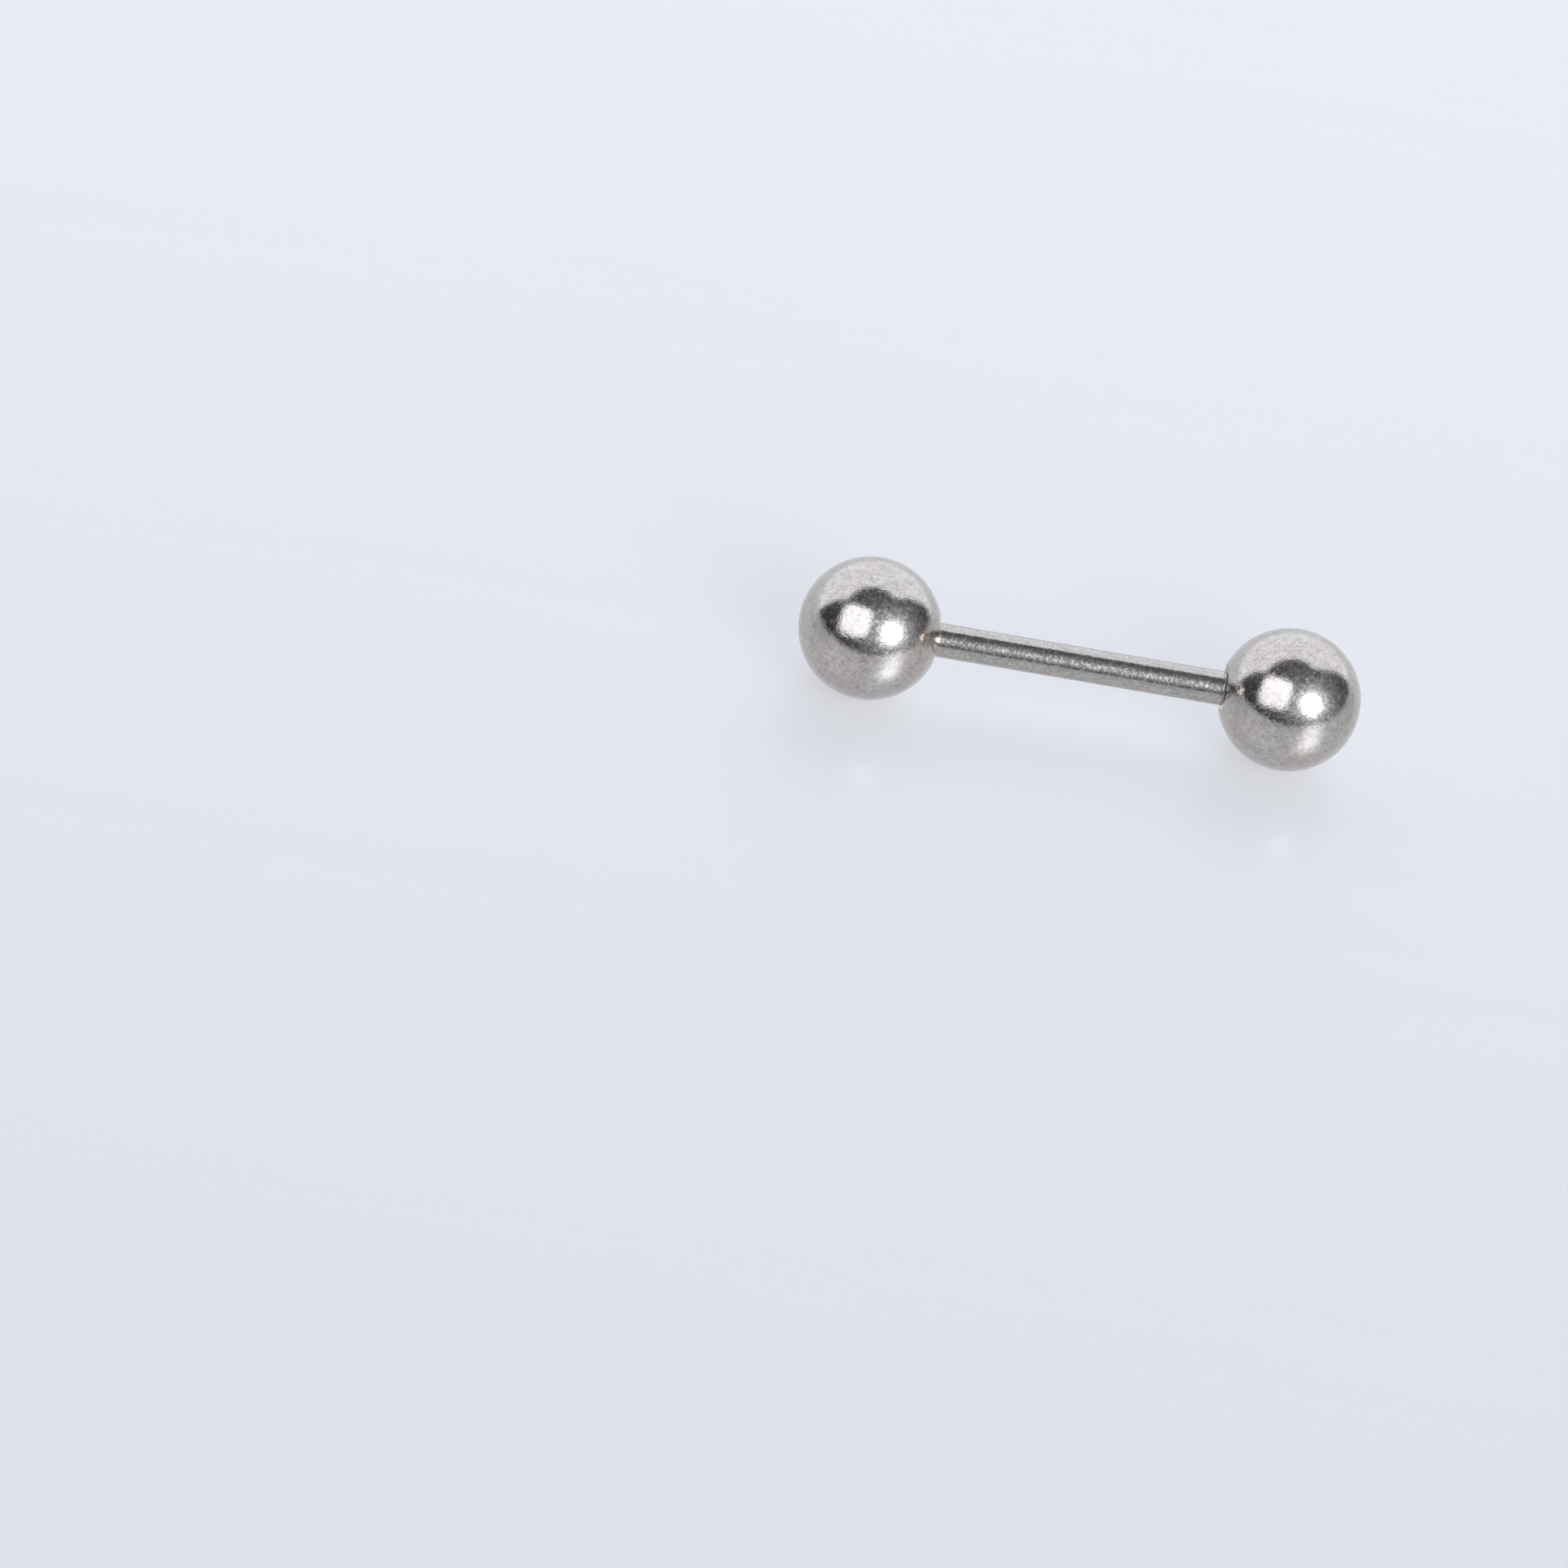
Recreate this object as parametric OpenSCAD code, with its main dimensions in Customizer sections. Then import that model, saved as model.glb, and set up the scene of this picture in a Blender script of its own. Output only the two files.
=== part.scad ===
// Straight body jewellery barbell: one bar with a screw thread at each end,
// and a ball with a countersunk blind hole screwed onto each thread.
// It lies along X on its two balls. The origin is on the surface, under its middle.

/* [Bar] */
// Diameter of the plain bar
bar_d = 1.2; // [1:0.1:1.6]
// Length of the plain bar between its two shoulders
bar_len = 10.3; // [6.3:0.5:16.3]
// Width of the broken edge round each shoulder
edge_break = 0.08; // [0.04:0.01:0.12]

/* [Thread] */
// Length of each threaded end, from its shoulder to its tip
stud_len = 2.2; // [1.6:0.1:2.4]
// Distance from one turn to the next
pitch = 0.25; // [0.2:0.05:0.35]
// How far the crests lie below the surface of the plain bar
crest_step = 0.05; // [0.02:0.01:0.1]
// Height of a crest over the root of the thread
thread_depth = 0.12; // [0.08:0.01:0.14]
// Length of the plain neck between the shoulder and the first turn
neck_len = 0.12; // [0.1:0.02:0.3]

/* [Ball] */
// Diameter of each ball
ball_d = 5; // [4:0.5:8]
// Diameter of the countersink's mouth, where it meets the ball's surface
mouth_d = 1.84; // [1.76:0.02:2.4]
// How far the shoulder of the bar sits inside the mouth
seat_depth = 0.05; // [0:0.01:0.2]
// Radial clearance between the crests and the hole
bore_gap = 0.05; // [0.02:0.01:0.08]
// Clearance between the tip of the bar and the bottom of the hole
tip_gap = 0.25; // [0.1:0.05:0.5]
// Angle that each ball is turned about the bar, which sets the facet that it rests on
ball_turn = 7; // [0:1:45]

/* [Hidden] */
$fn = 96;

crest_r = bar_d / 2 - crest_step;
root_r = crest_r - thread_depth;
bore_r = crest_r + bore_gap;
// The countersink narrows at 45 degrees from its mouth to the hole
sink_depth = mouth_d / 2 - bore_r;
// From the centre of a ball to the plane of its mouth, and to the shoulder of the bar
mouth_x = sqrt(pow(ball_d / 2, 2) - pow(mouth_d / 2, 2));
shoulder_x = mouth_x - seat_depth;
ball_x = bar_len / 2 + shoulder_x;
hole_end = shoulder_x - stud_len - tip_gap;
// The hole ends in the cone that a drill leaves, which has a point angle of 118 degrees
drill_tip = bore_r / tan(59);
// The tip of the bar narrows to the root over this length
tip_len = thread_depth;

// The ridge of the thread is swept in this many steps a turn
turn_steps = 16;
ridge_len = stud_len - neck_len - tip_len;
ridge_steps = floor(turn_steps * ridge_len / pitch);
// The flanks stand at 30 degrees, the crest is an eighth of the pitch wide,
// and the ridge's foot is sunk in the core, so that the two make one solid
foot_sink = 0.04;
crest_half = pitch / 16;
// The ridge rises out of the core over this share of a turn, and sinks back at the tip
fade_turn = 0.4;

// Half of the ridge's width at a height h over the root
function flank(h) = crest_half + (thread_depth - h) * tan(30);
// The crest's height at a step, which falls to below the root at both ends
function crest_height(i) =
    thread_depth * min(1, min(i, ridge_steps - i) / (fade_turn * turn_steps) * 1.3 - 0.3);
// One corner of the ridge's section, as height over the root and distance along the bar
function section(i) = [
    [-foot_sink, -flank(-foot_sink)],
    [crest_height(i), -flank(crest_height(i))],
    [crest_height(i), flank(crest_height(i))],
    [-foot_sink, flank(-foot_sink)],
];
function on_helix(i, c) = [
    (root_r + c[0]) * cos(360 * i / turn_steps),
    (root_r + c[0]) * sin(360 * i / turn_steps),
    neck_len + pitch / 2 + pitch * i / turn_steps + c[1],
];

// The helical ridge of one thread, right-handed about +Z, from a shoulder at z = 0
module thread_ridge() {
    corners = len(section(0));
    points = [for (i = [0:ridge_steps]) for (c = section(i)) on_helix(i, c)];
    sides = [
        for (i = [0:ridge_steps - 1]) for (k = [0:corners - 1])
            let (a = i * corners + k, b = i * corners + (k + 1) % corners)
            for (face = [[a, b, b + corners], [a, b + corners, a + corners]]) face
    ];
    first = [for (k = [corners - 1:-1:0]) k];
    last = [for (k = [0:corners - 1]) ridge_steps * corners + k];
    polyhedron(points = points, faces = concat(sides, [first, last]));
}

// One threaded end, along +Z from its shoulder at z = 0, rooted a little inside the bar
module stud() {
    root_in = 0.5;
    translate([0, 0, -root_in]) cylinder(r = root_r, h = root_in + stud_len - tip_len);
    translate([0, 0, stud_len - tip_len]) cylinder(r1 = root_r, r2 = root_r - tip_len, h = tip_len);
    thread_ridge();
}

// The plain bar between the shoulders, with its two edges broken, along Z
module shank() {
    straight = bar_len - 2 * edge_break;
    cylinder(d = bar_d, h = straight, center = true);
    for (side = [0, 180]) rotate([side, 0, 0]) translate([0, 0, straight / 2])
        cylinder(r1 = bar_d / 2, r2 = bar_d / 2 - edge_break, h = edge_break);
}

// The bar with both of its threaded ends
module bar() {
    color([0.74, 0.73, 0.72]) translate([0, 0, ball_d / 2]) {
        rotate([0, 90, 0]) shank();
        for (side = [-1, 1]) translate([side * bar_len / 2, 0, 0]) rotate([0, side * 90, 0]) stud();
    }
}

// The space for the thread: the countersink, the blind hole and the drill's cone,
// along Z about the centre of the ball, with its mouth towards -Z
module screw_hole() {
    over = 0.4;
    rotate([180, 0, 0]) {
        translate([0, 0, hole_end]) cylinder(r = bore_r, h = mouth_x - hole_end + over);
        translate([0, 0, hole_end - drill_tip]) cylinder(r1 = 0, r2 = bore_r, h = drill_tip);
        translate([0, 0, mouth_x - sink_depth])
            cylinder(r1 = bore_r, r2 = mouth_d / 2 + over, h = sink_depth + over);
    }
}

// One ball, on the side of the bar that is given as -1 or 1
module ball(side) {
    color([0.78, 0.76, 0.75]) translate([side * ball_x, 0, ball_d / 2])
        rotate([ball_turn, 0, 0]) rotate([0, side * 90, 0]) difference() {
            sphere(d = ball_d);
            screw_hole();
        }
}

module ball_left() {
    ball(-1);
}

module ball_right() {
    ball(1);
}

bar();
ball_left();
ball_right();
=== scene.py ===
# %% [markdown]
# # A screw-on steel barbell, from turned profile to polished metal
# This lesson dresses a small piece of body jewellery: a straight steel bar, 1.2 mm thick, with a
# 5 mm ball screwed onto each end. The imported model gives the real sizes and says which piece
# moves with which body. Everything here is made in that same frame, in metres: the bar lies
# along X, and its axis is one ball radius above the surface.
#
# Polished steel has hardly any colour of its own. Nearly all that we see on it is the room, bent
# round its shape, so half of the work is a true surface and half is a believable studio.

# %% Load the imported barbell
import math

import bpy
import numpy as np
from mathutils import Matrix, Vector


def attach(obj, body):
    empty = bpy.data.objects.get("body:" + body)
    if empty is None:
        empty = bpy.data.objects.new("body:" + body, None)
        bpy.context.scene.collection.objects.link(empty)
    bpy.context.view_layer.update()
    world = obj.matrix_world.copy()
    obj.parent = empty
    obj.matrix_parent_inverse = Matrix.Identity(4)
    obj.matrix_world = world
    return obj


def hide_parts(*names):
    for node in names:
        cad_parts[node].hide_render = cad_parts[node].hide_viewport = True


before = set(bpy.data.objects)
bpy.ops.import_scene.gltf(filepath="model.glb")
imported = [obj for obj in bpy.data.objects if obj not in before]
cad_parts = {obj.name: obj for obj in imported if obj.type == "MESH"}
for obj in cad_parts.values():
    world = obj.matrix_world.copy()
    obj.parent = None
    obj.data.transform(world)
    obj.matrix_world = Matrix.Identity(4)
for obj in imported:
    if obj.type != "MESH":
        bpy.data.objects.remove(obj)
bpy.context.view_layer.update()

# %% [markdown]
# ## Sizes, in millimetres
# The script can't read the part's source, so the sizes that the visible pieces share with the
# solids are written down again here. One number, `MM`, turns them into metres at the very end,
# because a bare 0.00012 is hard to read and easy to get wrong.

# %% Sizes
MM = 0.001
BAR_R = 0.6          # the plain bar
BAR_HALF = 5.15      # from the middle to each shoulder
EDGE = 0.03          # broken edge round each shoulder, sharper than the solid's 0.08
ROOT_R = 0.43        # bottom of the thread
CREST_R = 0.55       # top of the thread
NECK = 0.12          # plain neck before the first turn
STUD = 2.2           # threaded end, shoulder to tip
PITCH = 0.25         # one turn of the thread
BALL_R = 2.5
BORE_R = 0.6         # the hole in a ball
MOUTH_R = 0.92       # where the countersink meets the ball's surface
MOUTH_X = math.sqrt(BALL_R**2 - MOUTH_R**2)     # plane of the mouth, from the ball's centre
SEAT = 0.05          # how far each shoulder sits inside a mouth
TIP_GAP = 0.25       # room between the bar's tip and the bottom of the hole
BALL_X = BAR_HALF + MOUTH_X - SEAT              # a ball's centre, along the bar
HOLE_END = BAR_HALF + STUD + TIP_GAP            # bottom of the drilled hole, along the bar
AXIS_Z = BALL_R                                 # height of the bar's axis over the surface
print("ball centres at x = +-%.4f mm, whole length %.3f mm" % (BALL_X, 2 * (BALL_X + BALL_R)))

# %% [markdown]
# ## The camera
# The photograph was taken with a long lens from 43 degrees above the table, so the two balls
# come out the same size. Its barbell leans on another one, with its left end up, and the camera
# sees a little of its right ball's mouth. Ours lies flat on both balls. To see it just as the
# photograph does, the camera goes 6 degrees round to the left and is rolled by nearly 14. The
# barbell lies in the upper right part of the frame, so the camera's place is a small sum: start
# at the barbell's middle, go back along the line of sight, and step aside until the middle falls
# on the right pixel. Nothing needs a lens shift.

# %% Camera
LENS, SENSOR, FRAME_PX = 301.7, 36.0, 1932
AZIMUTH, ELEVATION, ROLL = map(math.radians, (-5.95, 43.0, 13.7))
MIDDLE_PX = Vector((1330.6, 818.1))     # where the barbell's middle is in the picture
DISTANCE = 457.1 * MM                   # along the line of sight

back = Vector((math.sin(AZIMUTH) * math.cos(ELEVATION),
               -math.cos(AZIMUTH) * math.cos(ELEVATION), math.sin(ELEVATION)))
level = Vector((math.cos(AZIMUTH), math.sin(AZIMUTH), 0))
upright = back.cross(level)
image_right = level * math.cos(ROLL) + upright * math.sin(ROLL)
image_up = upright * math.cos(ROLL) - level * math.sin(ROLL)

per_pixel = DISTANCE / (LENS / SENSOR * FRAME_PX)
aside = (MIDDLE_PX.x - FRAME_PX / 2) * per_pixel
above = (FRAME_PX / 2 - MIDDLE_PX.y) * per_pixel
place = Vector((0, 0, AXIS_Z * MM)) + back * DISTANCE - image_right * aside - image_up * above

lens = bpy.data.cameras.new("camera")
lens.lens, lens.sensor_width = LENS, SENSOR
lens.clip_start, lens.clip_end = 0.01, 50.0
camera = bpy.data.objects.new("camera", lens)
camera.matrix_world = Matrix.Translation(place) @ Matrix(
    (image_right, image_up, back)).transposed().to_4x4()
bpy.context.scene.collection.objects.link(camera)
bpy.context.scene.camera = camera
print("camera %.0f mm away, 1 mm is %.1f pixels" % (DISTANCE / MM, MM / per_pixel))

# %% [markdown]
# ## Writing nodes as sums
# A shader is a page of sums, and sums read best as sums. The class below wraps one socket of a
# node tree. Each operator adds the node that does that sum and returns its output, so that
# `1 - mask` or `(p - middle) * 40` builds the wires by itself. Numbers go to Math nodes, vectors
# and colours to Vector Math nodes, because a Math node would turn a colour grey. Every other
# node comes from `node`, which takes the kind, the settings and what goes into its sockets.
# Geometry trees know the same Math nodes, so the same class serves the modelling too.

# %% Signal
class Signal:
    """One output of a node, which sums can be written with."""

    def __init__(self, tree, socket):
        self.tree, self.socket = tree, socket

    @classmethod
    def node(cls, tree, kind, settings=None, inputs=None, out=0):
        """Adds a node: first its settings, then the values or links of its sockets."""
        made = tree.nodes.new(kind)
        for name, value in (settings or {}).items():
            setattr(made, name, value)
        for name, value in (inputs or {}).items():
            socket = made.inputs[name]
            if isinstance(value, Signal):
                tree.links.new(value.socket, socket)
            else:
                socket.default_value = value
        return cls(tree, made.outputs[out])

    def is_vector(self):
        return self.socket.type in ("VECTOR", "RGBA")

    def sum(self, operation, *others):
        """This value and others through one Math or Vector Math node."""
        parts = (self, *others)
        vector = any(p.is_vector() if isinstance(p, Signal) else isinstance(p, tuple)
                     for p in parts)
        kind = "ShaderNodeVectorMath" if vector else "ShaderNodeMath"
        if vector:
            parts = [p if isinstance(p, (Signal, tuple)) else (p, p, p) for p in parts]
        out = "Value" if operation in ("DOT_PRODUCT", "LENGTH", "DISTANCE") else 0
        return Signal.node(self.tree, kind, {"operation": operation}, dict(enumerate(parts)), out)

    def _turned(self, operation, other):
        """other OPERATION self, for the reflected forms."""
        vector = self.is_vector() or isinstance(other, tuple)
        kind = "ShaderNodeVectorMath" if vector else "ShaderNodeMath"
        first = (other,) * 3 if vector and not isinstance(other, tuple) else other
        return Signal.node(self.tree, kind, {"operation": operation}, {0: first, 1: self})

    def __add__(self, other): return self.sum("ADD", other)
    def __radd__(self, other): return self.sum("ADD", other)
    def __sub__(self, other): return self.sum("SUBTRACT", other)
    def __rsub__(self, other): return self._turned("SUBTRACT", other)
    def __mul__(self, other): return self.sum("MULTIPLY", other)
    def __rmul__(self, other): return self.sum("MULTIPLY", other)
    def __truediv__(self, other): return self.sum("DIVIDE", other)
    def __rtruediv__(self, other): return self._turned("DIVIDE", other)
    def __pow__(self, other): return self.sum("POWER", other)

    def axis(self, name):
        """The X, Y or Z of a vector."""
        return Signal.node(self.tree, "ShaderNodeSeparateXYZ", None, {0: self}, name)

    def between(self, low, high):
        """0 below low, 1 above high, and a smooth rise between them."""
        return Signal.node(self.tree, "ShaderNodeMapRange", {"interpolation_type": "SMOOTHSTEP"},
                           {"Value": self, "From Min": low, "From Max": high})

    def blend(self, first, second):
        """The first colour where this value is 0, and the second where it is 1."""
        return Signal.node(self.tree, "ShaderNodeMix", {"data_type": "RGBA"},
                           {"Factor": self, 6: first, 7: second}, 2)


def colour(red, green, blue):
    return (red, green, blue, 1.0)


print("signals ready")

# %% [markdown]
# ## A profile for the lathe
# Both the bar and the balls are turned: each one is a line drawn beside an axis and spun once
# round it. The line is written as a few corners. A turned edge is never a perfect corner though,
# and it is the tiny round on it that catches the light, so `rounded` replaces a corner by a
# short arc. It also adds a point close to each end of the arc, which keeps the smooth shading of
# a flat face flat right up to its edge.

# %% Rounded corners
def rounded(corners, steps=5, guard=0.012):
    """Corners as (x, r, radius of the round), in order, to a list of (x, r)."""
    line = []
    for i, (x, r, size) in enumerate(corners):
        here = np.array((x, r))
        if size == 0 or i in (0, len(corners) - 1):
            line.append(here)
            continue
        into = here - np.array(corners[i - 1][:2])
        out = np.array(corners[i + 1][:2]) - here
        into, out = into / np.linalg.norm(into), out / np.linalg.norm(out)
        turn = math.acos(np.clip(into @ out, -1, 1))
        reach = size * math.tan(turn / 2)
        start, end = here - into * reach, here + out * reach
        across = out - into
        middle = here + across / np.linalg.norm(across) * size / math.cos(turn / 2)
        line.append(start - into * guard)
        first = math.atan2(*(start - middle)[::-1])
        last = math.atan2(*(end - middle)[::-1])
        sweep = (last - first + math.pi) % (2 * math.pi) - math.pi
        for k in range(steps + 1):
            angle = first + sweep * k / steps
            line.append(middle + size * np.array((math.cos(angle), math.sin(angle))))
        line.append(end + out * guard)
    return [tuple(p) for p in line]


def filled(line, longest, start=-1e9, end=1e9):
    """Adds points to the stretches between start and end, so that none is longer than longest."""
    fine = [line[0]]
    for (x0, r0), (x1, r1) in zip(line, line[1:]):
        inside = min(x0, x1) >= start - 1e-6 and max(x0, x1) <= end + 1e-6
        count = max(1, math.ceil(math.hypot(x1 - x0, r1 - r0) / longest)) if inside else 1
        fine += [(x0 + (x1 - x0) * k / count, r0 + (r1 - r0) * k / count)
                 for k in range(1, count + 1)]
    return fine


square = rounded([(0, 0, 0), (1, 0, 0.1), (1, 1, 0)])
print("a 90 degree corner becomes", len(square) - 2, "points")

# %% [markdown]
# ## Half of the bar
# From the middle outwards: the plain bar, the shoulder, the neck, the long root of the thread,
# and a chamfered tip. The shoulder's edge is broken by only 0.03 mm, so it shows as one thin
# line. The lathe tool also left two fine rings round the bar near each shoulder. In the
# photograph the outer one is a thin dark line, and the narrow land between it and the edge is
# brighter than the rest of the bar. The thread itself isn't drawn here. The root line only gets
# enough points for it, 20 to each turn, and the lathe raises the ridge from them later on.

# %% Bar profile
TIP = BAR_HALF + STUD
RING_OUT, RING_IN = 0.13, 0.70      # from the shoulder back to each of the two tool rings


def tool_ring(x, deep):
    """A fine groove round the bar at x, as three corners."""
    return [(x - 0.02, BAR_R, 0.01), (x, BAR_R - deep, 0.006), (x + 0.02, BAR_R, 0.01)]


half_bar = rounded([
    (0.0, BAR_R, 0),
    *tool_ring(BAR_HALF - RING_IN, 0.0015),
    *tool_ring(BAR_HALF - RING_OUT, 0.004),
    (BAR_HALF - EDGE, BAR_R, 0.025),
    (BAR_HALF, BAR_R - EDGE, 0.015),
    (BAR_HALF, ROOT_R, 0.02),
    (TIP - NECK, ROOT_R, 0.02),
    (TIP, ROOT_R - NECK, 0.03),
    (TIP, 0.0, 0),
], guard=0.003)
half_bar = filled(half_bar, PITCH / 20, BAR_HALF + 0.02, TIP - NECK)
half_bar = filled(half_bar, 0.25, 0.0, BAR_HALF - 0.2)
bar_line = [(-x, r) for x, r in half_bar[:0:-1]] + half_bar
print("bar profile:", len(bar_line), "points")

# %% [markdown]
# ## The line of a ball
# The ball starts at its far pole as an arc, turns in over the rim of the countersink, goes down
# the 45 degree cone and along the wall of the hole, and ends in the cone that a drill leaves.
# The rim gets a real round of 0.04 mm: in the photograph it is the thin bright ring round the
# bar.

# %% Ball profile
RIM_ROUND = 0.04
ARC_STEPS = 110
DRILL_HALF = math.radians(59)                   # half the point angle of a drill
rim_angle = math.acos(-MOUTH_X / BALL_R)        # from the far pole round to the mouth
last_arc = rim_angle - 0.03                     # the arc stops a little before the rim


def on_ball(angle):
    return BALL_X + BALL_R * math.cos(angle), BALL_R * math.sin(angle)


arc = [on_ball(last_arc * k / ARC_STEPS) for k in range(ARC_STEPS)]
mouth = BALL_X - MOUTH_X                        # the plane of the mouth, along the bar
sink_end = mouth + MOUTH_R - BORE_R             # where the 45 degree cone meets the hole
hole = rounded([
    (*on_ball(last_arc), 0),
    (mouth, MOUTH_R, RIM_ROUND),
    (sink_end, BORE_R, 0.03),
    (HOLE_END, BORE_R, 0.03),
    (HOLE_END + BORE_R / math.tan(DRILL_HALF), 0.0, 0),
])
hole = filled(hole, PITCH / 16, sink_end, HOLE_END)
ball_line = arc + hole
print("ball profile:", len(ball_line), "points")

# %% [markdown]
# ## A lathe that also cuts threads
# A thread is a rule, so it suits Geometry Nodes. The tree lays out a plain grid, one row for each
# point of the profile and one column for each step round the bar. It bends the grid into the
# turned shape, and on the way it asks at every point: how far along the helix is this, counted
# in turns, and how far round? The difference of the two, wrapped to a single turn, is the
# distance from the middle of the ridge. A trapezoid of that distance is the thread. The ridge
# also knows which turn it is, and rises and sinks at the two ends of the thread.
#
# A swept ridge on a separate core would be quicker to think of, but the two would cut through
# each other. This way the piece is one closed skin, as it is in steel.

# %% Lathe tree
def lathe_tree():
    tree = bpy.data.node_groups.new("lathe_and_thread", "GeometryNodeTree")
    sockets = [("Profile", "NodeSocketObject"), ("Steps round", "NodeSocketInt"),
               ("Thread turns", "NodeSocketFloat"), ("Crest share", "NodeSocketFloat"),
               ("Foot share", "NodeSocketFloat"), ("Fade turns", "NodeSocketFloat"),
               ("Axis height", "NodeSocketFloat"), ("Finish", "NodeSocketMaterial")]
    for name, kind in sockets:
        tree.interface.new_socket(name, in_out="INPUT", socket_type=kind)
    tree.interface.new_socket("Turned", in_out="OUTPUT", socket_type="NodeSocketGeometry")

    entry = tree.nodes.new("NodeGroupInput")
    given = {s.name: Signal(tree, s) for s in entry.outputs if s.name}

    def node(kind, settings=None, inputs=None, out=0):
        return Signal.node(tree, kind, settings, inputs, out)

    profile = node("GeometryNodeObjectInfo", None, {"Object": given["Profile"]}, "Geometry")
    rows = node("GeometryNodeAttributeDomainSize", {"component": "MESH"},
                {"Geometry": profile}, "Point Count")
    columns = given["Steps round"] + 1
    grid = node("GeometryNodeMeshGrid", None, {"Vertices X": rows, "Vertices Y": columns})
    index = node("GeometryNodeInputIndex")
    row = (index / columns).sum("FLOOR")
    column = index - row * columns

    def from_profile(kind, value):
        return node("GeometryNodeSampleIndex",
                    {"data_type": kind, "domain": "POINT", "clamp": True},
                    {"Geometry": profile, "Value": value, "Index": row})

    def named(name):
        field = node("GeometryNodeInputNamedAttribute", {"data_type": "FLOAT"}, {"Name": name},
                     "Attribute")
        return from_profile("FLOAT", field)

    spot = from_profile("FLOAT_VECTOR", node("GeometryNodeInputPosition"))
    angle = column / given["Steps round"] * (2 * math.pi)
    along = named("turns_along")
    round_it = (angle * named("side") + math.pi / 2) / (2 * math.pi)
    off_ridge = (along - round_it + 0.5).sum("WRAP", 1.0, 0.0) - 0.5
    ridge = (given["Foot share"] - off_ridge.sum("ABSOLUTE")) / (
        given["Foot share"] - given["Crest share"])
    ridge = ridge.sum("MINIMUM", 1.0).sum("MAXIMUM", 0.0)
    turn = along - off_ridge
    ends = turn.sum("MINIMUM", given["Thread turns"] - turn) / given["Fade turns"] * 1.3 - 0.3
    ends = ends.sum("MINIMUM", 1.0).sum("MAXIMUM", 0.0)
    radius = spot.axis("Y") + named("cut_height") * ridge * ends
    radius = radius.sum("MINIMUM", named("turned_down_to"))
    turned = node("ShaderNodeCombineXYZ", None, {
        0: spot.axis("X"), 1: radius * angle.sum("COSINE"),
        2: radius * angle.sum("SINE") + given["Axis height"]})
    bent = node("GeometryNodeSetPosition", None, {"Geometry": grid, "Position": turned})
    closed = node("GeometryNodeMergeByDistance", None, {"Geometry": bent, "Distance": 2e-7})
    smooth = node("GeometryNodeSetShadeSmooth", None, {"Geometry": closed, "Shade Smooth": True})
    real = node("GeometryNodeRealizeInstances", None, {"Geometry": smooth})
    finished = node("GeometryNodeSetMaterial", None,
                    {"Geometry": real, "Material": given["Finish"]})
    exit_node = tree.nodes.new("NodeGroupOutput")
    tree.links.new(finished.socket, exit_node.inputs["Turned"])
    return tree


LATHE = lathe_tree()
print("lathe tree:", len(LATHE.nodes), "nodes")

# %% [markdown]
# ## Turning a piece
# The profile goes to the tree as a hidden mesh with one vertex for each point. It carries four
# numbers at each point: how many turns of the thread have passed, which end of the bar it
# belongs to, how high the ridge may stand, and a limit that the chamfer sets. The modifier's
# inputs are set by their identifiers before anything is evaluated. The result is then copied out
# as a plain mesh, and profile and modifier go, so that what is left is an ordinary piece.

# %% Turn a piece
CREST_SHARE, FOOT_SHARE = 1 / 16, 0.34      # half widths of the ridge, in turns
FADE_TURNS = 0.4                            # how fast the ridge rises and sinks at its ends


def turned_piece(name, line, thread, steps_round, turns, finish, body, node):
    """Spins a line of (x, r) about the bar's axis; thread(x, r) gives its four numbers."""
    points = np.array([(x, r, 0.0) for x, r in line]) * MM
    drawn = bpy.data.meshes.new(name + "_profile")
    drawn.from_pydata([tuple(p) for p in points], [(i, i + 1) for i in range(len(points) - 1)], [])
    numbers = np.array([thread(x, r) for x, r in line])
    for k, label in enumerate(("turns_along", "side", "cut_height", "turned_down_to")):
        layer = drawn.attributes.new(label, "FLOAT", "POINT")
        scale = MM if k > 1 else 1.0
        layer.data.foreach_set("value", (numbers[:, k] * scale).astype(np.float32))
    profile = bpy.data.objects.new(name + "_profile", drawn)
    blank = bpy.data.objects.new(name + "_blank", bpy.data.meshes.new(name + "_blank"))
    for helper in (profile, blank):
        bpy.context.scene.collection.objects.link(helper)

    modifier = blank.modifiers.new("lathe", "NODES")
    modifier.node_group = LATHE
    values = {"Profile": profile, "Steps round": steps_round, "Thread turns": turns,
              "Crest share": CREST_SHARE, "Foot share": FOOT_SHARE, "Fade turns": FADE_TURNS,
              "Axis height": AXIS_Z * MM, "Finish": finish}
    for item in LATHE.interface.items_tree:
        if item.in_out == "INPUT":
            modifier[item.identifier] = values[item.name]
    blank.update_tag()
    evaluated = blank.evaluated_get(bpy.context.evaluated_depsgraph_get())
    mesh = bpy.data.meshes.new_from_object(evaluated)
    mesh.name = name
    mesh.materials.pop(index=0)     # the grid's own empty slot; every face wears the other one
    piece = bpy.data.objects.new(name, mesh)
    bpy.context.scene.collection.objects.link(piece)
    for helper in (blank, profile):
        bpy.data.objects.remove(helper)

    volume = signed_volume(mesh)
    if volume < 0:
        mesh.flip_normals()
    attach(piece, body)
    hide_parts(node)
    triangles = sum(len(p.vertices) - 2 for p in mesh.polygons)
    print("%s: %d triangles, %.2f mm3" % (name, triangles, abs(volume) / MM**3))


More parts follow.
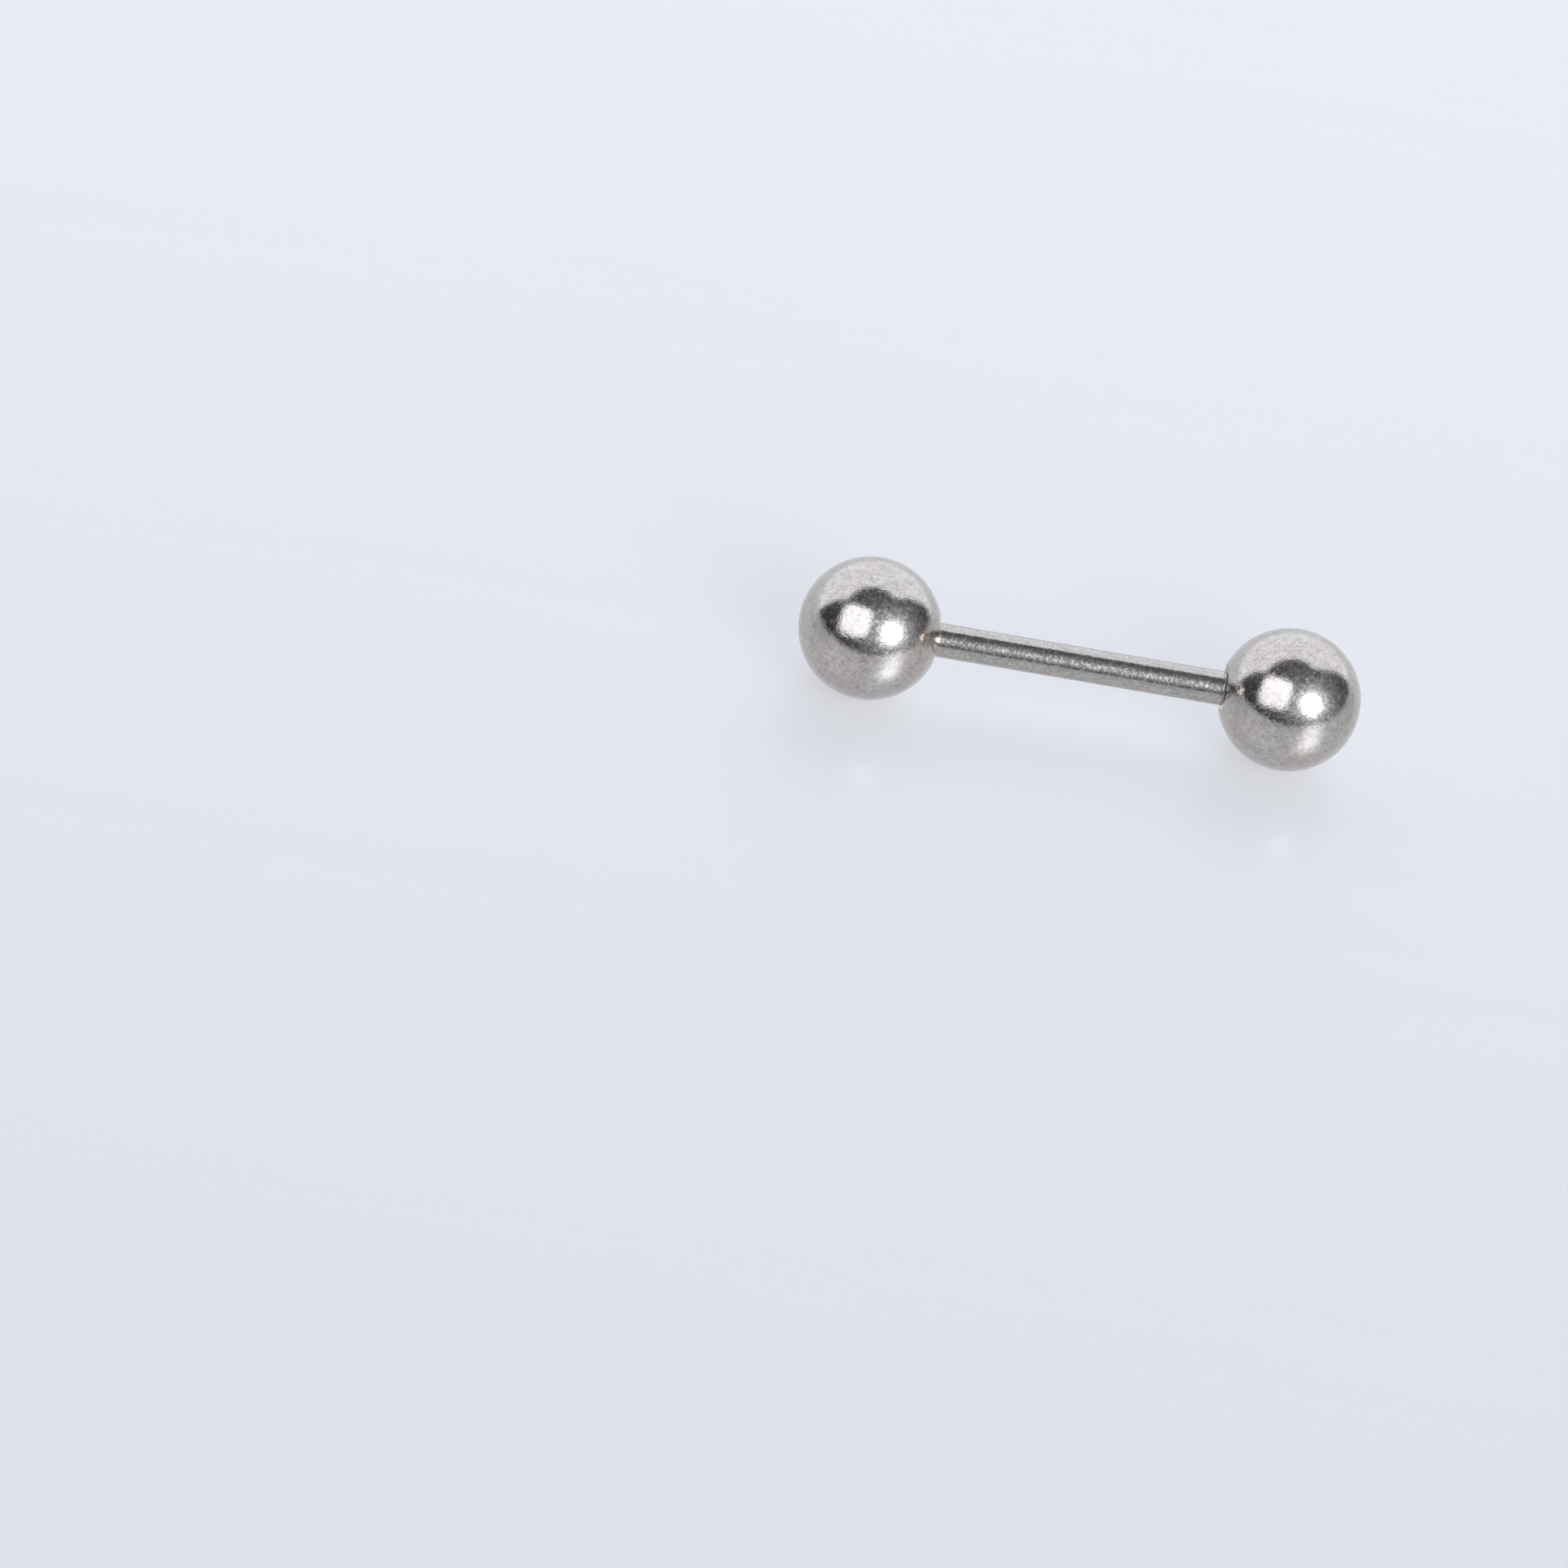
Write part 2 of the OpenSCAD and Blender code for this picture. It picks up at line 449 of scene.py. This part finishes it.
def signed_volume(mesh):
    """Volume inside a closed mesh, negative if its faces point inwards."""
    mesh.calc_loop_triangles()
    spots = np.empty(len(mesh.vertices) * 3)
    mesh.vertices.foreach_get("co", spots)
    corners = np.empty(len(mesh.loop_triangles) * 3, dtype=np.int64)
    mesh.loop_triangles.foreach_get("vertices", corners)
    a, b, c = spots.reshape(-1, 3)[corners.reshape(-1, 3)].transpose(1, 0, 2)
    return float(np.einsum("ij,ij->i", a, np.cross(b, c)).sum() / 6)


# %% [markdown]
# ## The metal
# Surgical steel is a warm grey mirror. What makes it steel and not chrome is its skin. Balls are
# polished in a tumbler full of small media. That leaves a faint orange peel, which makes straight
# reflections wander, a fine grain, small curved scratches, and pits that sparkle round a bright
# light. The larger ones are heights in micrometres, added up and given to a Bump node. The
# smallest are finer than a pixel, and what we see of them is haze: a wide, dim glow round each
# lamp. One roughness can't be clear and hazy at once, so the skin is two mirrors in one, and the
# grain and the scratches say how much of each there is.

# %% Metal helpers
MICROMETRE = 1e-6


def new_finish(name):
    """A material with its tree, and the place on the piece in millimetres."""
    finish = bpy.data.materials.new(name)
    finish.use_nodes = True
    tree = finish.node_tree
    shader = tree.nodes["Principled BSDF"]
    spot = Signal.node(tree, "ShaderNodeTexCoord", out="Object") * (1 / MM)
    return finish, tree, shader, spot


def noise(spot, per_mm, detail=2.0, roughness=0.5, warp=0.0):
    return Signal.node(spot.tree, "ShaderNodeTexNoise", {"noise_dimensions": "3D"}, {
        "Vector": spot, "Scale": per_mm, "Detail": detail, "Roughness": roughness,
        "Distortion": warp}, "Fac")


def cells(spot, per_mm):
    return Signal.node(spot.tree, "ShaderNodeTexVoronoi", {"feature": "F1"},
                       {"Vector": spot, "Scale": per_mm}, "Distance")


def hairlines(spot, per_mm, fineness):
    """Thin curved lines, where a warped noise passes its middle value."""
    near = (noise(spot, per_mm, 2.0, 0.6, warp=1.2) - 0.5).sum("ABSOLUTE") * fineness
    return (1 - near).sum("MAXIMUM", 0.0)


def bump(height, distance):
    return Signal.node(height.tree, "ShaderNodeBump", None,
                       {"Height": height, "Distance": distance, "Strength": 1.0}, "Normal")


def feed(shader, **sockets):
    for name, value in sockets.items():
        socket = shader.inputs[name.replace("_", " ")]
        if isinstance(value, Signal):
            value.tree.links.new(value.socket, socket)
        else:
            socket.default_value = value


def two_mirrors(tree, clear, tint, height, rough, haze, haze_rough):
    """A clear mirror and a hazy one with the same skin; haze says how much of the second."""
    hazy = tree.nodes.new("ShaderNodeBsdfPrincipled")
    skin = bump(height, MICROMETRE)
    feed(clear, Metallic=1.0, Base_Color=tint, Roughness=rough, Normal=skin)
    feed(hazy, Metallic=1.0, Base_Color=tint, Roughness=haze_rough, Normal=skin)
    both = Signal.node(tree, "ShaderNodeMixShader", None, {
        0: haze, 1: Signal(tree, clear.outputs[0]), 2: Signal(tree, hazy.outputs[0])})
    tree.links.new(both.socket, tree.nodes["Material Output"].inputs["Surface"])


print("metal helpers ready")

# %% [markdown]
# ## Tumbled steel, for the balls
# From coarse to fine: the peel is over half a millimetre wide and two micrometres deep, the
# ripple is a sixth of a millimetre wide, the speckle an eighth and the grain a twentieth. Grain
# and speckle together also leave flecks, which are hazier and a little lighter. Over the whole
# ball the colour drifts slowly between a cooler and a warmer grey.

# %% Tumbled steel
def tumbled_steel():
    finish, tree, shader, spot = new_finish("ball_steel")
    peel = noise(spot, 1.7, detail=1.0)
    ripple = noise(spot, 6.0)
    grain = noise(spot, 20.0, detail=1.5, roughness=0.6)
    speckle = noise(spot, 8.0, detail=1.5, roughness=0.6)
    flecks = (grain * 0.5 + speckle * 0.5).between(0.50, 0.61)
    patches = noise(spot, 3.5, detail=3.0, roughness=0.6)
    scratches = hairlines(spot, 2.6, 26.0)
    pits = 1 - cells(spot, 5.0).between(0.05, 0.17)
    height = (peel * 2.2 + ripple * 1.1 + speckle * 3.8 + grain * 3.4
              - pits * 0.5 - scratches * 0.12)
    warm = noise(spot, 0.8).between(0.35, 0.7)
    tint = warm.blend(colour(0.484, 0.462, 0.425), colour(0.507, 0.451, 0.413))
    tint = tint * (-0.08 + grain * 0.8 + speckle * 0.75 + patches * 0.6)
    haze = (0.010 + flecks * 0.175 + patches.between(0.3, 0.7) * 0.03
            + scratches * 0.05 + pits * 0.2)
    two_mirrors(tree, shader, tint, height, rough=0.125, haze=haze, haze_rough=0.45)
    return finish


BALL_STEEL = tumbled_steel()
print(BALL_STEEL.name, "has", len(BALL_STEEL.node_tree.nodes), "nodes")

# %% [markdown]
# ## Drawn steel, for the bar
# Wire is drawn, cut to length and polished on a wheel, and never gets as bright as the balls. Its
# grain is coarse enough to break a lamp's streak up into sparks. A few long draw lines run along
# it, and where the lathe tool worked, close to each shoulder, fine rings are left round it. The
# last land before the edge has more haze, which lights it up where it mirrors the dark side.

# %% Drawn steel
def drawn_steel():
    finish, tree, shader, spot = new_finish("bar_steel")
    out = spot.axis("X").sum("ABSOLUTE")
    grain = noise(spot * (19.0, 16.0, 16.0), 1.0, detail=1.5, roughness=0.6)
    speckle = noise(spot, 8.0, detail=1.5, roughness=0.6)
    flecks = (grain * 0.6 + speckle * 0.4).between(0.47, 0.60)
    patches = noise(spot * (0.5, 1.0, 1.0), 3.5, detail=3.0, roughness=0.6)
    draw_lines = noise(spot * (0.15, 7.0, 7.0), 1.0)
    scratches = hairlines(spot * (1.0, 0.6, 0.6), 2.2, 22.0)
    pits = 1 - cells(spot * (0.7, 1.0, 1.0), 8.0).between(0.05, 0.2)
    tooled = out.between(BAR_HALF - 1.4, BAR_HALF - 0.1)
    rings = noise(spot * (7.0, 0.12, 0.12), 1.0).between(0.56, 0.66) * tooled
    land = out.between(BAR_HALF - 0.12, BAR_HALF - 0.09)
    height = (draw_lines * 1.2 + speckle * 3.0 + grain * 3.2
              - pits * 0.6 - scratches * 0.2 - rings * 0.5)
    warm = noise(spot, 0.8).between(0.35, 0.7)
    tint = warm.blend(colour(0.449, 0.435, 0.404), colour(0.470, 0.430, 0.396))
    tint = tint * (0.04 + grain * 0.85 + speckle * 0.6 + patches * 0.35 - rings * 0.10)
    haze = 0.015 + flecks * 0.40 + scratches * 0.03 + pits * 0.1 + rings * 0.08 + land * 0.4
    two_mirrors(tree, shader, tint, height, rough=0.13, haze=haze, haze_rough=0.30)
    return finish


BAR_STEEL = drawn_steel()
print(BAR_STEEL.name, "has", len(BAR_STEEL.node_tree.nodes), "nodes")

# %% [markdown]
# ## The bar
# The two threads are the same screw turned end for end, so both are right-handed. The count of
# turns starts half a pitch past the neck at each end. At the tip a 45 degree line cuts the
# crests down, as the chamfer on a real stud does.

# %% Bar
FIRST_TURN = BAR_HALF + NECK + PITCH / 2
STUD_TURNS = (STUD - 2 * NECK) / PITCH
NO_LIMIT = 10.0


def stud_thread(x, r):
    """The four numbers of a point of the bar: only the root line carries a ridge."""
    side = 1.0 if x > 0 else -1.0
    out = abs(x)
    on_root = BAR_HALF + 0.03 < out <= TIP and r > 0.3
    cut = CREST_R - ROOT_R if on_root else 0.0
    limit = ROOT_R - NECK + (TIP - out) if out > BAR_HALF + 1 else NO_LIMIT
    return (out - FIRST_TURN) / PITCH, side, cut, max(limit, r)


turned_piece("bar", bar_line, stud_thread, 96, STUD_TURNS + 1, BAR_STEEL,
             body="bar", node="bar")

# %% [markdown]
# ## The balls
# The second ball is the first one's line, mirrored, but its thread isn't: the lathe cuts both
# with the same hand. The thread in the hole is a shallow ridge that points inwards and lies in
# the grooves of the stud, half a turn away from its crests.

# %% Balls
HOLE_RIDGE = 0.03       # how far the thread in the hole stands in
HOLE_TURNS = 12.0       # more than the hole has, so its thread doesn't fade out at the bottom


def hole_thread(x, r):
    """The four numbers of a point of a ball: only the wall of the hole carries a ridge."""
    side = 1.0 if x > 0 else -1.0
    out = abs(x)
    on_wall = sink_end + 0.03 < out < HOLE_END - 0.1 and abs(r - BORE_R) < 1e-6
    return (out - FIRST_TURN) / PITCH + 0.5, side, -HOLE_RIDGE if on_wall else 0.0, NO_LIMIT


for word, side in (("left", -1), ("right", 1)):
    turned_piece("ball_" + word, [(side * x, r) for x, r in ball_line], hole_thread, 180,
                 HOLE_TURNS, BALL_STEEL,
                 body="ball_" + word, node="ball_" + word)

# %% [markdown]
# ## The table
# The barbell lies on a smooth pale sheet with hardly a shadow on it. Most of its brightness is
# painted light: the sheet glows by itself like a lamp, which hides the shade round the barbell,
# and only a small part of its light is reflected. It is almost white with a breath of blue, with
# painted light that makes it a little lighter towards the back, and it is just glossy enough to
# hold a blurred image of the barbell. It is a plain square at height zero, and it isn't part of
# the object.

# %% Table
TABLE_HALF = 6.0
table_mesh = bpy.data.meshes.new("table")
table_mesh.from_pydata([(x * TABLE_HALF, y * TABLE_HALF, 0.0)
                        for x, y in ((-1, -1), (1, -1), (1, 1), (-1, 1))], [], [(0, 1, 2, 3)])
table = bpy.data.objects.new("table", table_mesh)
bpy.context.scene.collection.objects.link(table)

glossy_sheet, tree, shader, spot = new_finish("glossy_sheet")
streaks = noise(spot * (0.05, 0.6, 1.0), 1.0, detail=3.0)
# Painted light: the sheet glows by itself instead of being lit, and glows more towards the back.
painted_light_towards_back = ((spot.axis("Y") + 60) / 120).between(0.0, 1.0)      # over 120 mm of the table
painted_glow = painted_light_towards_back.blend(colour(0.488, 0.495, 0.530), colour(0.597, 0.601, 0.624))
# The emission below is painted light, which keeps shade off the sheet round the barbell.
feed(shader, Base_Color=colour(0.282, 0.29, 0.308), Roughness=0.4 + streaks * 0.1,
     Coat_Weight=0.78 + streaks * 0.1, Emission_Color=painted_glow * (0.99 + streaks * 0.02))
feed(shader, Emission_Strength=1.0, Specular_IOR_Level=0.0, Coat_Roughness=0.35, Coat_IOR=1.5)
table_mesh.materials.append(glossy_sheet)
print("table", 2 * TABLE_HALF, "m wide")

# %% [markdown]
# ## The studio
# A polished ball is a map of its whole room, so the room is drawn on that map. For each
# direction of the surround, the point of a ball that mirrors it to the camera has the normal
# halfway between that direction and the camera's. Seen in the picture, that point has an x and
# a y, as shares of the ball's radius. On this map the dark side of the room, behind and above
# the camera, is a cloud with three lobes, and everything else is the pale cloth of a light tent.
# The map is fixed to the room, so it stays where it is when another camera looks.
#
# The round lamp stands before the dark side and spills some light on it. The spill falls off
# with the square of the distance, twice over, and a tighter one lies close round the lamp.

# %% Surround
studio = bpy.data.worlds.new("studio")
bpy.context.scene.world = studio
studio.use_nodes = True
tree = studio.node_tree
towards = Signal.node(tree, "ShaderNodeTexCoord", out="Generated")
halfway = (towards + tuple(back)).sum("NORMALIZE")
map_x = halfway.sum("DOT_PRODUCT", tuple(image_right))
map_y = halfway.sum("DOT_PRODUCT", tuple(image_up))
flat = Signal.node(tree, "ShaderNodeCombineXYZ", None, {0: map_x, 1: map_y})

# Each lobe is a middle x and y, and half its width and height, all as shares of the radius
LOBES = [(0.12, 0.00, 0.66, 0.45), (-0.38, 0.08, 0.38, 0.31), (0.02, 0.20, 0.39, 0.367),
         (0.47, 0.12, 0.36, 0.29)]
dark = None
for x, y, wide, high in LOBES:
    reach = ((map_x - x) / wide) ** 2.0 + ((map_y - y) / high) ** 2.0
    lobe = (1 - reach.sum("SQRT")) * min(wide, high)
    dark = lobe if dark is None else dark.sum("SMOOTH_MAX", lobe, 0.015)
wander = noise(flat, 9.0, 2.0) - 0.5
in_dark = (dark + wander * 0.035).between(-0.018, 0.018)

LAMP_X, LAMP_Y, SPILL_REACH = 0.294, -0.067, 0.30
from_lamp = ((map_x - LAMP_X) ** 2.0 + (map_y - LAMP_Y) ** 2.0) / SPILL_REACH**2
spill = (1 + from_lamp) ** -2.0 * 1.2 + (1 + from_lamp * 6) ** -3.0 * 7.0
cloth = noise(flat, 2.5, 2.0)
# The ceiling behind the top lobe isn't quite as dark
ceiling = (map_y - 0.15).sum("MAXIMUM", 0.0) * 0.16
pale = cloth.blend(colour(1.27, 1.33, 1.475), colour(1.345, 1.41, 1.55))
dusk = noise(flat, 3.3, 2.0).blend(colour(0.012, 0.013, 0.015), colour(0.045, 0.0485, 0.054))
backdrop = tree.nodes["Background"]
dark_side = dusk + (spill + ceiling) * (0.95, 1.02, 1.12)
tree.links.new(in_dark.blend(pale, dark_side).socket, backdrop.inputs["Color"])
backdrop.inputs["Strength"].default_value = 1.0
print("surround:", len(LOBES), "lobes,", len(tree.nodes), "nodes")

# %% [markdown]
# ## Lamps
# On the same map the balls show a square soft box, high on the left, and a round lamp low on
# the right, so bright that it burns out. Both are area lights, 2 m away, and as large as the map
# says. A soft box is brightest in the middle and fades towards its rounded corners, and this
# one also gets brighter towards its top, so its strength follows the place on its face.
#
# The table in the photograph has hardly any shadow. Both lamps are therefore kept off matt
# surfaces and only show in polished ones, and a weak fill from the side does the rest.

# %% Lamps
LAMP_AWAY = 2.0


def mirrored_at(x, y):
    """The direction that a point of the map mirrors to the camera."""
    normal = image_right * x + image_up * y + back * math.sqrt(1 - x * x - y * y)
    return normal * (2 * normal.dot(back)) - back


def area_lamp(name, shape, to_lamp, right, wide, high, tint, radiance):
    """A lamp whose face gives the stated radiance towards the barbell."""
    lamp = bpy.data.lights.new(name, "AREA")
    lamp.shape, lamp.size, lamp.size_y, lamp.color = shape, wide, high, tint
    face = wide * high * (math.pi / 4 if shape == "DISK" else 1.0)
    lamp.energy = radiance * math.pi * face
    towards_lamp = to_lamp.normalized()
    right = (right - towards_lamp * right.dot(towards_lamp)).normalized()
    up = towards_lamp.cross(right)
    holder = bpy.data.objects.new(name, lamp)
    holder.matrix_world = Matrix.Translation(towards_lamp * LAMP_AWAY) @ Matrix(
        (right, up, towards_lamp)).transposed().to_4x4()
    bpy.context.scene.collection.objects.link(holder)
    return holder


def fade_to_edges(lamp):
    """Dims a lamp's face near its rounded edge, and a little towards its foot."""
    lamp.use_nodes = True
    tree = lamp.node_tree
    face = Signal.node(tree, "ShaderNodeNewGeometry", out="Parametric")
    u, v = face.axis("X"), face.axis("Y")
    across, down = ((side * 2 - 1).sum("ABSOLUTE") ** 6.0 for side in (u, v))
    edge = (across + down) ** (1 / 6)
    strength = (1.0 - edge.between(0.70, 1.0)) * (0.74 + u * 0.06 + v * 0.2)
    tree.links.new(strength.sum("MAXIMUM", 0.0).socket, tree.nodes["Emission"].inputs["Strength"])


TO_BOX, TO_ROUND = mirrored_at(-0.21, 0.095), mirrored_at(LAMP_X, LAMP_Y)
soft_box = area_lamp("soft_box", "RECTANGLE", TO_BOX,
                     image_right * 1.53 - image_up * 0.40 + back * 0.72,
                     wide=2.16, high=2.06, tint=(0.955, 1.0, 1.095), radiance=2.35)
fade_to_edges(soft_box.data)
round_lamp = area_lamp("round_lamp", "DISK", TO_ROUND, level,
                       wide=0.86, high=0.86, tint=(0.95, 1.0, 1.09), radiance=32.0)
for shown_only in (soft_box, round_lamp):
    shown_only.visible_diffuse = False
side_fill = area_lamp("side_fill", "DISK", TO_ROUND, level,
                      wide=1.33, high=1.33, tint=(1.0, 0.99, 0.98), radiance=1.5)
side_fill.visible_glossy = False
print("lamps", LAMP_AWAY, "m away")

# %% [markdown]
# ## Exposure
# The plain Standard view keeps the numbers honest: a surface that sends out 0.8 looks like 0.8.
# The filmic views would grey the white table and soften the burnt-out lamp.

# %% View
bpy.context.scene.view_settings.view_transform = "Standard"
bpy.context.scene.view_settings.look = "None"
